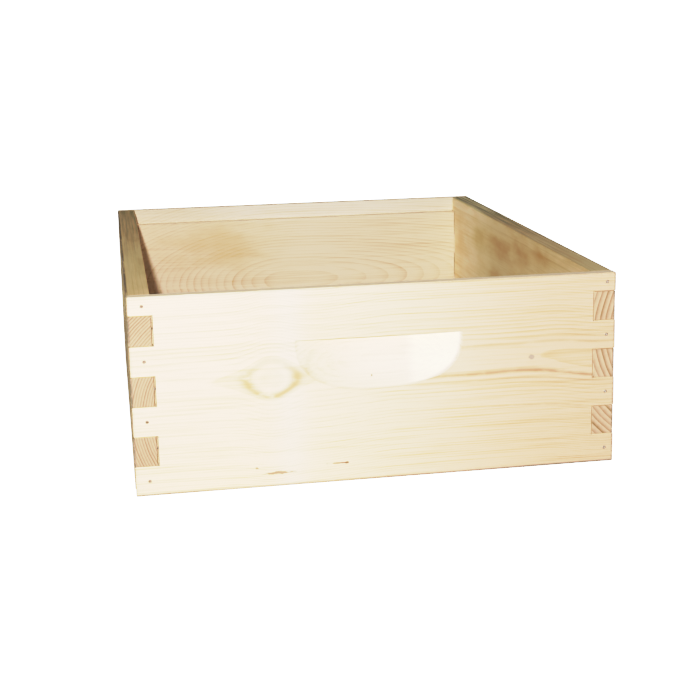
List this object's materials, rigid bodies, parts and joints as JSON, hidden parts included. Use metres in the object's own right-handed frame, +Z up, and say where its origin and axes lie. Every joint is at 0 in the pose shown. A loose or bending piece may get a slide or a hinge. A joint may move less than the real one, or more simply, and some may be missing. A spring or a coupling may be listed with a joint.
{
  "type": "beehive super",
  "caption": "Open wooden box for one layer of hive frames, with finger-jointed corners, inside ledges for the frame lugs and a milled handhold in each wall.",
  "frame": {"origin": "centre of the footprint, on the surface the box stands on", "axes": "+Z up; +Y from the front end board to the rear one, along the frames; +X to the right seen from the front"},
  "size_m": [0.4132, 0.5048, 0.1683],
  "materials": {
    "pine": "bare planed softwood, pale, matt",
    "nail_steel": "dull finish nails"
  },
  "bodies": {
    "root": {"front_board": "pine", "rear_board": "pine", "left_board": "pine", "right_board": "pine", "nail_front_left_1": "nail_steel", "nail_front_left_2": "nail_steel", "nail_front_left_3": "nail_steel", "nail_front_left_4": "nail_steel", "nail_front_left_5": "nail_steel", "nail_front_left_6": "nail_steel", "nail_front_left_7": "nail_steel", "nail_front_right_1": "nail_steel", "nail_front_right_2": "nail_steel", "nail_front_right_3": "nail_steel", "nail_front_right_4": "nail_steel", "nail_front_right_5": "nail_steel", "nail_front_right_6": "nail_steel", "nail_front_right_7": "nail_steel", "nail_rear_left_1": "nail_steel", "nail_rear_left_2": "nail_steel", "nail_rear_left_3": "nail_steel", "nail_rear_left_4": "nail_steel", "nail_rear_left_5": "nail_steel", "nail_rear_left_6": "nail_steel", "nail_rear_left_7": "nail_steel", "nail_rear_right_1": "nail_steel", "nail_rear_right_2": "nail_steel", "nail_rear_right_3": "nail_steel", "nail_rear_right_4": "nail_steel", "nail_rear_right_5": "nail_steel", "nail_rear_right_6": "nail_steel", "nail_rear_right_7": "nail_steel"}
  },
  "joints": []
}
